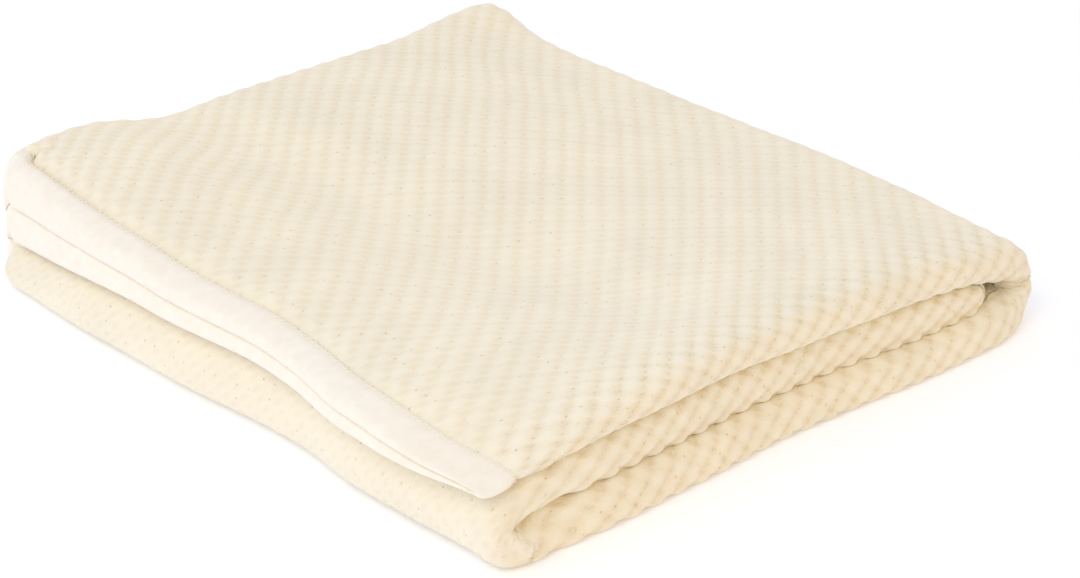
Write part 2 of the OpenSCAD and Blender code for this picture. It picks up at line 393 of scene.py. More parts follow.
@dataclass
class FoldedCloth:
    """The one cloth coordinate system that every layer shares: (a, v, r) to a place in the settled pack.

    r is the distance from the middle of the doubled panel: small inside, where the fleece faces meet, and half the
    panel's thickness on the knit's outside.
    """

    sizes: PackSizes
    drape: Drape
    left_run: float = 50.0
    right_run: float = 80.0

    def __post_init__(self) -> None:
        """Works out the lengths of the seven parts of the folding path along the middle of the cloth."""
        s = self.sizes
        self.left_r = 0.5 * (s.tucked_z - s.bottom_z)
        self.right_r = s.outer_r - s.half_t
        spine = s.height - 2.0 * s.outer_r
        self.middle = np.cumsum(
            [
                0.0,
                s.tucked_end - s.left_x,
                math.pi * self.left_r,
                s.right_x - s.left_x,
                0.5 * math.pi * self.right_r,
                spine,
                0.5 * math.pi * self.right_r,
                s.right_x - s.flap_end,
            ]
        )
        fold = self.middle[6] - self.middle[3]
        self.run = self.middle.copy()
        self.run[2:] += self.left_run - (self.middle[2] - self.middle[1])
        self.run[6:] += self.right_run - fold
        self.run[4] = self.run[3] + self.right_run * (self.middle[4] - self.middle[3]) / fold
        self.run[5] = self.run[3] + self.right_run * (self.middle[5] - self.middle[3]) / fold
        self.flat_v = s.back_y - s.half_fold_y
        self.turn_v = math.pi * s.half_t
        self.width = 2.0 * self.flat_v + self.turn_v
        self.length = float(self.run[7])

    def limits(self, stretch: Stretch) -> tuple[float, float]:
        """First and last a of a stretch: the left fold goes with the tucked panel, and the right fold is shared."""
        half = 0.5 * (self.run[4] + self.run[5])
        return {
            Stretch.TUCKED: (0.0, float(self.run[2])),
            Stretch.BOTTOM: (float(self.run[2]), float(half)),
            Stretch.FLAP: (float(half), self.length),
        }[stretch]

    def path(self, a: np.ndarray) -> tuple[np.ndarray, np.ndarray, np.ndarray, np.ndarray]:
        """The middle of the doubled panel, seen from the front.

        Straight runs and turns follow each other: at each a, the place on the run that holds it, and the normal
        that points to the outside of the folds.

        Args:
            a: Cloth lengths, in mm.

        Returns:
            x, z and the normal's x and z.
        """
        s = self.sizes
        m = self.middle
        t = np.interp(a, self.run, m)
        left_mid = 0.5 * (s.tucked_z + s.bottom_z)
        low_z, high_z = s.outer_r, s.height - s.outer_r
        part = [t < m[1], t < m[2], t < m[3], t < m[4], t < m[5], t < m[6]]
        turn = np.select(
            part,
            [
                np.full_like(t, math.pi),
                math.pi + (t - m[1]) / self.left_r,
                np.full_like(t, 2.0 * math.pi),
                2.0 * math.pi + (t - m[3]) / self.right_r,
                np.full_like(t, 2.5 * math.pi),
                2.5 * math.pi + (t - m[5]) / self.right_r,
            ],
            3.0 * math.pi,
        )
        nx, nz = np.sin(turn), -np.cos(turn)
        x = np.select(
            part,
            [
                s.tucked_end - t,
                s.left_x + self.left_r * nx,
                s.left_x + t - m[2],
                s.right_x + self.right_r * nx,
                np.full_like(t, s.right_x + self.right_r),
                s.right_x + self.right_r * nx,
            ],
            s.right_x - (t - m[6]),
        )
        z = np.select(
            part,
            [
                np.full_like(t, s.tucked_z),
                left_mid + self.left_r * nz,
                np.full_like(t, s.bottom_z),
                low_z + self.right_r * nz,
                low_z + t - m[4],
                high_z + self.right_r * nz,
            ],
            s.flap_z,
        )
        return x, z, nx, nz

    def neat(self, a: np.ndarray, v: np.ndarray, r: np.ndarray) -> np.ndarray:
        """Places in the neat pack: along the path, out from the middle by the ply, and round the half fold.

        The half fold is a squarish half ring: out by r cos(t) and forward by r sin(t), both with their powers cut to
        0.84, so that the rolls are flatter than half circles. The roll is a tenth fuller than the panel, and fuller
        again on its inner ply inside the right fold. The tucked panel's free end is drawn back at the front, which
        leaves a hollow inside the right fold.

        Args:
            a: Cloth lengths, in mm.
            v: Cloth widths, in mm.
            r: Distances from the middle of the doubled panel, in mm.

        Returns:
            Places in mm, with one more axis of 3.
        """
        s, run = self.sizes, self.run
        x, z, nx, nz = self.path(a)
        before, past = v < self.flat_v, v - self.flat_v - self.turn_v
        turn = np.clip((v - self.flat_v) / self.turn_v, 0.0, 1.0) * math.pi
        cosine, sine = np.cos(turn), np.sin(turn)
        near_roll = hump(np.minimum(np.abs(v - self.flat_v), np.abs(past)), 0.0, 9.0)
        on_roll = (v > self.flat_v) & (past < 0.0)
        r = r * (1.0 + 0.1 * np.where(on_roll, 1.0, near_roll) * np.abs(cosine))
        plump = smooth(turn, 0.5 * math.pi, math.pi) * smooth(past, 24.0, 0.0)
        plump = plump * smooth(a, run[3] + 1.0, run[3] + 18.0) * smooth(a, run[6] - 1.0, run[6] - 18.0)
        r = r * (1.0 + 0.24 * plump)
        forward = s.half_fold_y - r * np.abs(sine) ** 0.84
        y = np.where(before, s.back_y - v, np.where(past > 0.0, s.half_fold_y + past, forward))
        y = y + 16.0 * smooth(a, 17.5, -0.5) * smooth(y, -100.0, -s.back_y)
        out = r * np.sign(cosine) * np.abs(cosine) ** 0.84
        out = np.where(before, r, np.where(past > 0.0, -r, out))
        return np.stack([x + out * nx, y, z + out * nz], axis=-1)

    def place(self, a: np.ndarray, v: np.ndarray, r: np.ndarray) -> np.ndarray:
        """Places in the settled pack, in mm."""
        return self.drape.settle(self.neat(a, v, r))

    def edge(self, a: np.ndarray, v: np.ndarray) -> np.ndarray:
        """Distance to the nearest cut edge of the cloth, in mm."""
        return np.minimum(np.minimum(a, self.length - a), np.minimum(v, self.width - v))

    def tightness(self, a: np.ndarray, v: np.ndarray) -> np.ndarray:
        """How much of its relief the knit keeps: all on the front rolls, less on the flat and least in the folds.

        Args:
            a: Cloth lengths, in mm.
            v: Cloth widths, in mm.

        Returns:
            Shares from 0 to 1.
        """
        lower = smooth(v, self.flat_v + 0.55 * self.turn_v, self.flat_v + self.turn_v)
        left = smooth(a, self.run[1] - 3.0, self.run[1] + 10.0) * smooth(a, self.run[2] + 3.0, self.run[2] - 10.0)
        right = smooth(a, self.run[3] - 3.0, self.run[3] + 10.0) * smooth(a, self.run[6] + 3.0, self.run[6] - 10.0)
        roll = smooth(v, self.flat_v - 26.0, self.flat_v - 2.0)
        return (0.62 + 0.38 * roll) * (1.0 - left * (0.8 + 0.15 * lower) - right * (0.1 + 0.4 * lower))


@dataclass
class BasketKnit:
    """Raised and sunk blocks in a checkerboard, with stitch holes where four blocks meet."""

    block_a: float = 7.0
    block_v: float = 6.3
    relief: float = 1.0
    lean: float = 0.26
    hole: float = 0.5

    def coordinates(self, a: np.ndarray, v: np.ndarray) -> tuple[np.ndarray, np.ndarray]:
        """Cloth coordinates with the small unevenness of hand-tensioned rows: a ripple of under a millimetre."""
        return (
            a + 0.8 * ripple(a, v, 95.0, 0.3) + 0.3 * ripple(a, v, 23.0, 1.9),
            v + 0.8 * ripple(a, v, 105.0, 2.7) + 0.3 * ripple(a, v, 27.0, 0.8),
        )

    def height(self, pa: np.ndarray, pv: np.ndarray) -> np.ndarray:
        """Height of the knit, from 0 in the stitch holes to 1 on the raised blocks.

        The product of one sine along and one across gives the checkerboard. Its power is cut so that blocks are
        plump with narrow flanks, a lean between the two diagonals joins the blocks into soft columns, and a bell at
        each meeting point of four blocks makes the holes.

        Args:
            pa: Pattern place along the length, in mm.
            pv: Pattern place across the width, in mm.

        Returns:
            Heights from 0 to 1.
        """
        u, w = math.pi * pa / self.block_a, math.pi * pv / self.block_v
        m = 0.5 * ((1.0 + self.lean) * np.cos(u - w) - (1.0 - self.lean) * np.cos(u + w))
        plump = np.sign(m) * np.abs(m) ** 0.72
        uneven = 1.0 + 0.16 * ripple(pa, pv, 17.0, 0.6)
        holes = np.exp(-(np.sin(u) ** 2 + np.sin(w) ** 2) / 0.16)
        return np.clip(0.5 + 0.5 * plump * np.where(m > 0, uneven, 0.85) - self.hole * holes * 0.5, 0.0, 1.0)


def weld(points: np.ndarray, faces: np.ndarray) -> tuple[np.ndarray, np.ndarray, np.ndarray]:
    """Joins points that lie on each other and drops the triangles that this leaves without area.

    Args:
        points: Places, shape (n, 3).
        faces: Corner numbers, shape (m, 3).

    Returns:
        The points kept, the faces kept, and for each kept point its number before.
    """
    _, first, back = np.unique(np.round(points, 4), axis=0, return_index=True, return_inverse=True)
    faces = back.reshape(-1)[faces]
    whole = (faces[:, 0] != faces[:, 1]) & (faces[:, 1] != faces[:, 2]) & (faces[:, 2] != faces[:, 0])
    faces = faces[whole]
    used, renumbered = np.unique(faces, return_inverse=True)
    return points[first][used], renumbered.reshape(-1, 3), first[used]


def grid_faces(numbers: np.ndarray) -> np.ndarray:
    """Two triangles for each cell of a grid of point numbers."""
    p, q, r, s = numbers[:-1, :-1], numbers[1:, :-1], numbers[1:, 1:], numbers[:-1, 1:]
    return np.concatenate([np.stack([p, q, r], -1).reshape(-1, 3), np.stack([p, r, s], -1).reshape(-1, 3)])


def rim_faces(fine: np.ndarray, coarse: np.ndarray, at: np.ndarray) -> np.ndarray:
    """Triangles between one edge of a fine grid and the same edge of a coarse one.

    Each fine segment reaches to the nearest coarse point, and each coarse segment to the fine point where that
    nearest one changes.

    Args:
        fine: Point numbers along the fine edge.
        coarse: Point numbers along the coarse edge.
        at: For each coarse point, the fine point that it lies under.

    Returns:
        Corner numbers of the triangles.
    """
    between = 0.5 * (at[:-1] + at[1:])
    nearest = np.searchsorted(between, np.arange(len(fine) - 1) + 0.5)
    switch = np.searchsorted(nearest, np.arange(1, len(coarse)))
    first = np.stack([fine[:-1], fine[1:], coarse[nearest]], -1)
    second = np.stack([coarse[:-1], fine[switch], coarse[1:]], -1)
    return np.concatenate([first, second])


@dataclass
class Shell:
    """A closed thin layer: a fine outer face, a coarser inner face under it, and a rim that joins them."""

    outer: np.ndarray
    inner: np.ndarray
    at_a: np.ndarray
    at_v: np.ndarray
    uv: np.ndarray
    relief: np.ndarray

    def build(self, name: str) -> bpy.types.Object:
        """Makes the mesh object, with its pattern map in metres and its relief attribute.

        Args:
            name: The piece's name.

        Returns:
            The new object, linked to the scene, with its place in its mesh.
        """
        rows, columns = self.outer.shape[:2]
        top = np.arange(rows * columns).reshape(rows, columns)
        under = rows * columns + np.arange(len(self.at_a) * len(self.at_v)).reshape(len(self.at_a), -1)
        faces = [grid_faces(top), grid_faces(under)[:, ::-1]]
        faces.append(rim_faces(top[0], under[0], self.at_v)[:, ::-1])
        faces.append(rim_faces(top[-1], under[-1], self.at_v))
        faces.append(rim_faces(top[:, 0], under[:, 0], self.at_a))
        faces.append(rim_faces(top[:, -1], under[:, -1], self.at_a)[:, ::-1])
        points = np.concatenate([self.outer.reshape(-1, 3), self.inner.reshape(-1, 3)])
        pick = np.ix_(self.at_a, self.at_v)
        uv = np.concatenate([self.uv.reshape(-1, 2), self.uv[pick].reshape(-1, 2)])
        relief = np.concatenate([self.relief.reshape(-1), self.relief[pick].reshape(-1)])
        return mesh_object(name, points, np.concatenate(faces), uv, relief)


def mesh_object(
    name: str, points: np.ndarray, faces: np.ndarray, uv: np.ndarray, relief: np.ndarray
) -> bpy.types.Object:
    """Turns arrays in mm into a closed smooth mesh object in metres, with faces outward.

    Args:
        name: The object's name.
        points: Places, shape (n, 3), in mm.
        faces: Corner numbers, shape (m, 3).
        uv: Pattern place of each point, in mm.
        relief: Height of the surface's pattern at each point, 0 to 1.

    Returns:
        The new object.
    """
    points, faces, kept = weld(points, faces)
    corners = points[faces]
    volume = np.einsum("ij,ij->i", corners[:, 0], np.cross(corners[:, 1], corners[:, 2])).sum()
    if volume < 0.0:
        faces = faces[:, ::-1]
    mesh = bpy.data.meshes.new(name)
    mesh.vertices.add(len(points))
    mesh.vertices.foreach_set("co", (points * MM).astype(np.float32).ravel())
    mesh.loops.add(faces.size)
    mesh.loops.foreach_set("vertex_index", faces.astype(np.int32).ravel())
    mesh.polygons.add(len(faces))
    mesh.polygons.foreach_set("loop_start", np.arange(0, faces.size, 3, dtype=np.int32))
    mesh.polygons.foreach_set("use_smooth", np.ones(len(faces), dtype=bool))
    mesh.update(calc_edges=True)
    layer = mesh.uv_layers.new(name="Pattern")
    layer.data.foreach_set("uv", (uv[kept][faces.ravel()] * MM).astype(np.float32).ravel())
    attribute = mesh.attributes.new("relief", "FLOAT", "POINT")
    attribute.data.foreach_set("value", relief[kept].astype(np.float32))
    mesh.validate()
    piece = bpy.data.objects.new(name, mesh)
    bpy.context.scene.collection.objects.link(piece)
    return piece


def spaced(start: float, end: float, step: float) -> np.ndarray:
    """Even places from start to end, at most step apart, with both ends."""
    return np.linspace(start, end, max(2, int(math.ceil((end - start) / step)) + 1))


def thinned(count: int, every: int) -> np.ndarray:
    """Every so many of count places, always with the first and the last."""
    return np.unique(np.append(np.arange(0, count, every), count - 1))


@dataclass
class KnitFace:
    """The knitted sheet on one ply of one stretch. The upper ply's piece goes right round the half fold."""

    cloth: FoldedCloth
    knit: BasketKnit
    stretch: Stretch
    upper: bool
    step: float = 1.45
    shoulder: float = 7.0

    def ranges(self) -> tuple[tuple[float, float], tuple[float, float]]:
        """The piece's part of the cloth, short of the hem where the edge is cut.

        Returns:
            First and last a, and first and last v, in mm.
        """
        c, inset = self.cloth, self.cloth.sizes.knit_in
        first, last = c.limits(self.stretch)
        first = inset if self.stretch is Stretch.TUCKED else first
        last = c.length - inset if self.stretch is Stretch.FLAP else last
        turn_end = c.flat_v + c.turn_v
        return (first, last), ((inset, turn_end) if self.upper else (turn_end, c.width - inset))

    def build(self, name: str) -> bpy.types.Object:
        """Lays the knit's outer face at its relief's height over its even inner face.

        Args:
            name: The piece's name.

        Returns:
            The piece.
        """
        c, s = self.cloth, self.cloth.sizes
        (a0, a1), (v0, v1) = self.ranges()
        a, v = np.meshgrid(spaced(a0, a1, self.step), spaced(v0, v1, self.step), indexing="ij")
        pa, pv = self.knit.coordinates(a, v)
        height = self.knit.height(pa, pv)
        inside = c.edge(a, v) - s.knit_in
        shoulder = rounded(inside / self.shoulder, 1.8)
        calm = c.tightness(a, v) * smooth(inside, 0.0, 6.0)
        seat = s.half_t - s.knit_t
        outside = s.half_t - self.knit.relief * (0.62 - 0.62 * calm + calm * (1.0 - height))
        outer = c.place(a, v, seat + 0.8 + (outside - seat - 0.8) * shoulder)
        at_a, at_v = thinned(a.shape[0], 4), thinned(a.shape[1], 4)
        pick = np.ix_(at_a, at_v)
        inner = c.place(a[pick], v[pick], np.full(a[pick].shape, seat - 0.05))
        # The relief attribute also tells the knit material where to paint its cavity shade.
        return Shell(outer, inner, at_a, at_v, np.stack([pa, pv], -1), height * calm + 0.55 * (1.0 - calm)).build(name)

    def flat_size(self) -> tuple[float, float]:
        """The piece's share of the flat knitted sheet.

        Returns:
            Width and length, in metres.
        """
        (a0, a1), (v0, v1) = self.ranges()
        m = np.interp([a0, a1], self.cloth.run, self.cloth.middle)
        return (v1 - v0) * MM, float(m[1] - m[0]) * MM


@dataclass
class FleeceSheet:
    """The fleece lining of one stretch, on both plies, with the hem that it turns round the cut edges."""

    cloth: FoldedCloth
    stretch: Stretch
    roll: float = 11.0
    pile: float = 0.1

    def samples(self) -> tuple[np.ndarray, np.ndarray]:
        """Where the grid's lines are: close together in the hems and folds, and further apart on flat cloth.

        Returns:
            The places along the length and across the width, in mm.
        """
        c = self.cloth
        first, last = c.limits(self.stretch)
        near = np.array([0.0, 0.12, 0.4, 0.9, 1.6, 2.5, 3.6, 5.0, 6.5, 8.0, 9.5, 10.7, 11.8, 12.9, 14.0, 15.2, 16.5])
        parts = [spaced(first, last, 3.2)]
        if self.stretch is Stretch.TUCKED:
            parts = [near, spaced(17.5, last, 3.2)]
        if self.stretch is Stretch.FLAP:
            parts = [spaced(first, last - 17.5, 3.2), last - near]
        along = np.unique(np.round(np.concatenate(parts), 4))
        turn_end = c.flat_v + c.turn_v
        across = [near, spaced(17.5, c.flat_v, 3.2), spaced(c.flat_v, turn_end, 1.4)]
        across += [spaced(turn_end, c.width - 17.5, 3.2), c.width - near]
        return along, np.unique(np.round(np.concatenate(across), 4))

    def build(self, name: str) -> bpy.types.Object:
        """Lays the fleece between the knit and the other ply, and swells it into a soft roll at the cut edges.

        The roll rises from the cut edge as a rounded shoulder to the panel's outside, and sinks to the lining's
        level just past the hem, so a soft groove is left beside the knit.

        Args:
            name: The piece's name.

        Returns:
            The piece.
        """
        c, s = self.cloth, self.cloth.sizes
        along, across = self.samples()
        a, v = np.meshgrid(along, across, indexing="ij")
        d = c.edge(a, v)
        seat = s.half_t - s.knit_t - 0.25
        swell = rounded(d / self.roll, 2.5) * (1.0 - smooth(d, s.hem_w - 3.4, s.hem_w + 7.0))
        fur = self.pile * (ripple(a, v, 7.0, 0.9) + 2.0 * ripple(a, v, 19.0, 2.0))
        fur = fur * smooth(d, s.hem_w + 2.0, s.hem_w - 3.0) * smooth(d, 0.0, 5.0)
        outside = seat + (s.half_t - 0.35 - seat) * swell + fur
        inside = seat - (seat - 0.05) * rounded(d / 3.0, 1.8)
        outer, inner = c.place(a, v, outside), c.place(a, v, inside)
        every = [np.arange(n) for n in a.shape]
        return Shell(outer, inner, every[0], every[1], np.stack([a, v], -1), np.clip(d / s.hem_w, 0.0, 1.0)).build(name)

    def flat_size(self) -> tuple[float, float]:
        """The piece's share of the flat fleece.

        Returns:
            Width and length, in metres.
        """
        c = self.cloth
        m = np.interp(c.limits(self.stretch), c.run, c.middle)
        return c.width * MM, float(m[1] - m[0]) * MM


@dataclass
class SeamThread:
    """The row of thread that holds the hem: one running stitch in the groove beside the knit."""

    cloth: FoldedCloth
    stretch: Stretch
    radius: float = 0.42
    stitch: float = 3.6
    sides: int = 6

    def run(self, along: bool, fixed: float, start: float, end: float) -> tuple[np.ndarray, np.ndarray]:
        """One closed tube whose middle dips into the cloth once in each stitch.

        A ring of points goes round the line at each step, and the first and last rings shrink to a point.

        Args:
            along: True for a seam that runs along a, false for one that runs along v.
            fixed: The other cloth coordinate of the line.
            start: Where the line starts.
            end: Where it ends.

        Returns:
            The tube's points and faces.
        """
        c, s = self.cloth, self.cloth.sizes
        round_the_line = np.arange(self.sides) * 2.0 * math.pi / self.sides
        t, turn = np.meshgrid(spaced(start, end, 0.9), round_the_line, indexing="ij")
        thick = self.radius * np.ones(t.shape[0])
        thick[[0, -1]] = 0.0
        r = s.half_t - 1.95 + 0.3 * np.cos(2.0 * math.pi * t / self.stitch) + thick[:, None] * np.sin(turn)
        side = fixed + thick[:, None] * np.cos(turn)
        points = c.place(t, side, r) if along else c.place(side, t, r)
        numbers = np.arange(t.size).reshape(t.shape)
        numbers = np.concatenate([numbers, numbers[:, :1]], axis=1)
        return points.reshape(-1, 3), grid_faces(numbers)

    def build(self, name: str) -> bpy.types.Object:
        """Joins the stretch's seams: along both plies' back edges, and across a cut end if there is one.

        Args:
            name: The piece's name.

        Returns:
            The piece.
        """
        c = self.cloth
        line = c.sizes.knit_in - 0.4
        first, last = c.limits(self.stretch)
        ends = [(False, line, line, c.width - line)] if self.stretch is Stretch.TUCKED else []
        ends += [(False, c.length - line, line, c.width - line)] if self.stretch is Stretch.FLAP else []
        first, last = max(first, line), min(last, c.length - line)
        tubes = [self.run(*each) for each in ends + [(True, line, first, last), (True, c.width - line, first, last)]]
        starts = np.cumsum([0] + [len(points) for points, _ in tubes])
        points = np.concatenate([points for points, _ in tubes])
        faces = np.concatenate([faces + start for (_, faces), start in zip(tubes, starts)])
        flat = np.zeros(len(points))
        return mesh_object(name, points, faces, np.stack([flat, flat], -1), flat)


@dataclass
class CareLabel:
    """A blank satin tab, sewn into the back hem between the plies."""

    drape: Drape
    thick: float = 0.5

    def build(self, name: str) -> bpy.types.Object:
        """Makes the tab as a thin closed sheet over its node's outline, settled with the pack.

        Args:
            name: The piece's name.

        Returns:
            The piece.
        """
        low, high = (np.array(corner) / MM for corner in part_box("care_label"))
        x, y = np.meshgrid(spaced(low[0], high[0], 1.5), spaced(low[1], high[1], 1.5), indexing="ij")
        middle = 0.5 * (low[2] + high[2])
        flat = [np.stack([x, y, np.full(x.shape, middle + side * self.thick)], -1) for side in (0.5, -0.5)]
        faces = [self.drape.settle(face) for face in flat]
        every = [np.arange(n) for n in x.shape]
        return Shell(faces[0], faces[1], every[0], every[1], np.stack([x, y], -1), np.zeros(x.shape)).build(name)


def linear(colour: str) -> tuple[float, float, float, float]:
    """An sRGB hex colour, such as "#FFFFFF", as linear red, green, blue and alpha."""
    parts = [int(colour[i : i + 2], 16) / 255.0 for i in (1, 3, 5)]
    return (*(p / 12.92 if p <= 0.04045 else ((p + 0.055) / 1.055) ** 2.4 for p in parts), 1.0)


def node(
    tree: bpy.types.NodeTree, kind: str, settings: dict[str, object] | None = None, **links: object
) -> bpy.types.Node:
    """Adds a node, with its settings and with each input set to a value or linked to a socket.

    Args:
        tree: The material's or world's tree.
        kind: The node's type, without "ShaderNode".
        settings: Properties of the node.
        **links: Inputs by name, with "_" for a space, or by number as "i0"; a socket is linked, the rest is set.

    Returns:
        The new node.
    """
    made = tree.nodes.new("ShaderNode" + kind)
    for key, value in (settings or {}).items():
        setattr(made, key, value)
    for key, value in links.items():
        numbered = key[0] == "i" and key[1:].isdigit()
        socket = made.inputs[int(key[1:]) if numbered else key.replace("_", " ")]
        if isinstance(value, bpy.types.NodeSocket):
            tree.links.new(value, socket)
        else:
            socket.default_value = value
    return made


def blank_material(name: str) -> tuple[bpy.types.Material, bpy.types.NodeTree]:
    """Makes a material with an empty tree.

    Args:
        name: The material's name.

    Returns:
        The material and its tree.
    """
    made = bpy.data.materials.new(name)
    made.use_nodes = True
    made.node_tree.nodes.clear()
    return made, made.node_tree


def mixed(tree: bpy.types.NodeTree, share: object, first: object, second: object, blend: str = "MIX") -> object:
    """The colour between two colours or sockets, by share, as a socket."""
    settings = {"data_type": "RGBA", "blend_type": blend}
    return node(tree, "Mix", settings, i0=share, i6=first, i7=second).outputs[2]


@dataclass(frozen=True)
class KnitFinish:
    """Cream cotton yarn, chunky basket knit: matt and soft, with painted shade that makes it a little darker and warmer
    where it is deep.
    """

    raised: str = "#F8F4E5"
    # sunk: the yarn's colour with painted cavity shade in it, used where the relief is low.
    sunk: str = "#F1E7CF"
    # hole: the colour of the painted shade in stitch holes and in the deepest places on the rolls.
    hole: str = "#BFA56A"
    stitch_mm: float = 2.33
    row_mm: float = 1.57
    bump_mm: float = 0.22

    def material(self, knit: BasketKnit) -> bpy.types.Material:
        """Builds the material on the Pattern map, which is in metres along the cloth.

        Args:
            knit: The knit, for the size of its blocks.

        Returns:
            The material.
        """
        made, tree = blank_material("cotton_basket_knit")

        def calc(operation: str, first: object, second: object = 0.0, third: object = 0.0) -> bpy.types.NodeSocket:
            """One sum on values or sockets."""
            return node(tree, "Math", {"operation": operation}, i0=first, i1=second, i2=third).outputs[0]

        place = node(tree, "UVMap", {"uv_map": "Pattern"}).outputs[0]
        split = node(tree, "SeparateXYZ", i0=place)
        along, across = split.outputs[0], split.outputs[1]
        relief = node(tree, "Attribute", {"attribute_name": "relief"}).outputs["Fac"]
        # Stitches: each wale is a column of V shapes, so rows lean down to the middle of the wale on both sides.
        wale = calc("PINGPONG", calc("MULTIPLY", along, 1.0 / (self.stitch_mm * MM)), 0.5)
        row = calc("ADD", calc("MULTIPLY", across, 1.0 / (self.row_mm * MM)), calc("MULTIPLY", wale, 1.5))
        yarn = calc("SINE", calc("MULTIPLY", row, 2.0 * math.pi))
        purl = calc("SINE", calc("MULTIPLY", across, 2.0 * math.pi / (self.row_mm * MM)))
        v_stitch = calc("ADD", calc("MULTIPLY", yarn, 0.5), calc("SINE", calc("MULTIPLY", wale, 2.0 * math.pi)))
        stitches = node(tree, "Mix", {"data_type": "FLOAT"}, i0=relief, i2=purl, i3=v_stitch).outputs[0]
        fluff = node(tree, "TexNoise", Vector=place, Scale=1400.0, Detail=3.0, Roughness=0.6).outputs[0]
        # Floats: short bars of yarn that cross the sunk columns, two to each block.
        turn_a = calc("MULTIPLY", along, math.pi / (knit.block_a * MM))
        turn_v = calc("MULTIPLY", across, math.pi / (knit.block_v * MM))
        bars = calc("COSINE", calc("MULTIPLY", calc("ADD", turn_a, turn_v), 1.8))
        column = calc("SUBTRACT", 0.5, calc("MULTIPLY", calc("COSINE", calc("SUBTRACT", turn_a, turn_v)), 0.5))
        floats = calc("MULTIPLY", bars, column)
        surface = calc("ADD", calc("MULTIPLY", stitches, 0.32), calc("MULTIPLY", fluff, 0.9))
        surface = calc("ADD", surface, calc("MULTIPLY", floats, 1.1))
        bump = node(tree, "Bump", Strength=0.7, Distance=self.bump_mm * MM, Height=surface).outputs[0]
        # Stitch holes: painted shade as small dark spots where four blocks meet, some closed by the yarn.
        sin_a, sin_v = calc("SINE", turn_a), calc("SINE", turn_v)
        near = calc("ADD", calc("MULTIPLY", sin_a, sin_a), calc("MULTIPLY", sin_v, sin_v))
        spot = calc("EXPONENT", calc("MULTIPLY", near, -26.0))
        some = node(tree, "TexNoise", Vector=place, Scale=110.0, Detail=1.0).outputs[0]
        open_hole = node(tree, "MapRange", Value=some, i1=0.5, i2=0.64, i3=0.0, i4=0.8).outputs[0]
        holes = calc("MULTIPLY", spot, open_hole)
        # Painted shade: the darker, warmer sunk colour goes where the relief is low, for the shade in the knit's
        # hollows.
        base = mixed(tree, relief, linear(self.sunk), linear(self.raised))
        cloudy = node(tree, "TexNoise", Vector=place, Scale=24.0, Detail=2.0).outputs[0]
        tone = node(tree, "MapRange", Value=cloudy, i1=0.3, i2=0.7, i3=0.96, i4=1.02).outputs[0]
        # Random tone, plus painted highlight and shade that lighten the float bars a little and darken between them.
        tone_and_float_highlight = calc("ADD", tone, calc("MULTIPLY", floats, 0.025))
        toned = mixed(tree, 1.0, base, tone_and_float_highlight, "MULTIPLY")
        # On the rolls the knit is drawn open: its deepest places get painted shade, in uneven specks.
        deep = node(tree, "MapRange", Value=relief, i1=0.26, i2=0.0, i3=0.0, i4=0.5).outputs[0]
        deep_shade_noise = node(tree, "TexNoise", Vector=place, Scale=620.0, Detail=2.0).outputs[0]
        deep_shade_speck = node(tree, "MapRange", Value=deep_shade_noise, i1=0.42, i2=0.62, i3=0.0, i4=1.0).outputs[0]
        # dark: where painted shade goes, in the stitch holes and the deep specks.
        dark = calc("MAXIMUM", holes, calc("MULTIPLY", deep, deep_shade_speck))
        # The painted shade takes the hole colour.
        colour = mixed(tree, dark, toned, linear(self.hole))
        shader = node(tree, "BsdfPrincipled", Base_Color=colour, Roughness=0.93, Normal=bump)
        shader.inputs["Specular IOR Level"].default_value = 0.2
        shader.inputs["Sheen Weight"].default_value = 0.5
        shader.inputs["Sheen Roughness"].default_value = 0.5
        node(tree, "OutputMaterial", Surface=shader.outputs[0])
        return made


@dataclass(frozen=True)
class FleeceFinish:
    """White brushed polyester fleece: short soft pile with no shine, and a faint glow at its edge."""

    pile: str = "#F9F5ED"
    shade: str = "#F5EFE5"
    tuft_mm: float = 1.1

    def material(self) -> bpy.types.Material:
        """Builds the material on object coordinates, with tufts of the pile's real size.

        Returns:
            The material.
        """
        made, tree = blank_material("brushed_fleece")
        place = node(tree, "TexCoord").outputs["Object"]
        per_metre = 1.0 / (self.tuft_mm * MM)
        tufts = node(tree, "TexNoise", Vector=place, Scale=per_metre, Detail=3.0, Roughness=0.65).outputs[0]
        clumps = node(tree, "TexNoise", Vector=place, Scale=170.0, Detail=2.0).outputs[0]
        both = node(tree, "Math", {"operation": "ADD"}, i0=tufts, i1=clumps).outputs[0]
        bump = node(tree, "Bump", Strength=0.3, Distance=0.2 * MM, Height=both).outputs[0]
        depth = node(tree, "MapRange", Value=clumps, i1=0.3, i2=0.7, i3=0.0, i4=1.0).outputs[0]
        colour = mixed(tree, depth, linear(self.shade), linear(self.pile))
        shader = node(tree, "BsdfPrincipled", Base_Color=colour, Roughness=0.95, Normal=bump)
        shader.inputs["Specular IOR Level"].default_value = 0.15
        shader.inputs["Sheen Weight"].default_value = 0.3
        shader.inputs["Sheen Roughness"].default_value = 0.5
        node(tree, "OutputMaterial", Surface=shader.outputs[0])
        return made


@dataclass(frozen=True)
class ThreadFinish:
    """Cream polyester sewing thread: a slight gloss along its twist."""

    yarn: str = "#FAF4E8"
    dark: str = "#F1E8D6"

    def material(self) -> bpy.types.Material:
        """Builds the material with a fine twist, drawn as wide as it needs to show.

        Returns:
            The material.
        """
        made, tree = blank_material("sewing_thread")
        place = node(tree, "TexCoord").outputs["Object"]
        settings = {"bands_direction": "DIAGONAL"}
        twist = node(tree, "TexWave", settings, Vector=place, Scale=900.0, Distortion=1.0).outputs[1]
        colour = mixed(tree, twist, linear(self.dark), linear(self.yarn))
        bump = node(tree, "Bump", Strength=0.3, Distance=0.1 * MM, Height=twist).outputs[0]
        shader = node(tree, "BsdfPrincipled", Base_Color=colour, Roughness=0.55, Normal=bump)
        node(tree, "OutputMaterial", Surface=shader.outputs[0])
        return made


